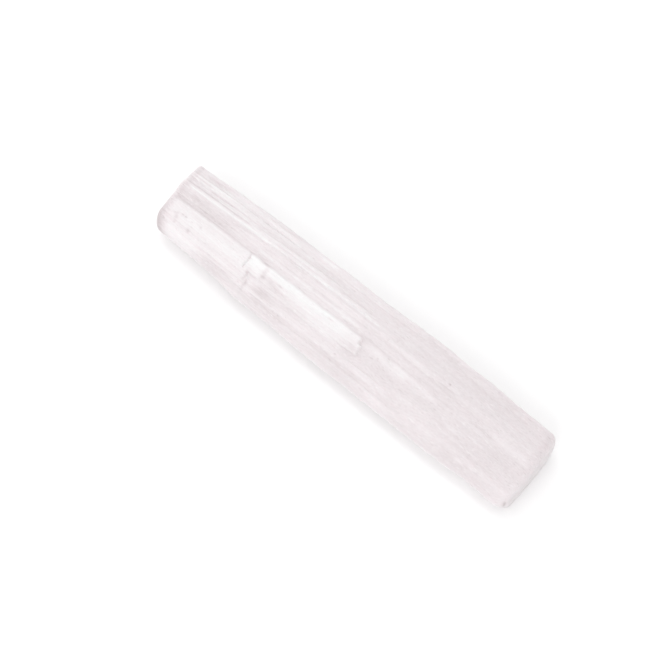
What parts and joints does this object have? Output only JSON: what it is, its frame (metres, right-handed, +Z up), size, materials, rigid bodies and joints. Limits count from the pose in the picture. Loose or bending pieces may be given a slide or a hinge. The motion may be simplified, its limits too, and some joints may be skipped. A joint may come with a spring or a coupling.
{
  "type": "selenite crystal blade",
  "caption": "Long milky-white blade of fibrous selenite (satin spar), split lengthwise into flat faces and narrow ledges, with sawn, worn ends; it lies on its flat underside.",
  "frame": {"origin": "middle of the flat underside, on the surface that the blade lies on", "axes": "+X along the fibres towards the thinner end, +Y towards the back of the blade, which carries the striped face, +Z up"},
  "size_m": [0.1492, 0.0314, 0.0142],
  "materials": {
    "satin_spar": "silky, fibrous, milky and slightly translucent, split rather than polished"
  },
  "bodies": {
    "root": {"selenite_blade": "satin_spar"}
  },
  "joints": []
}
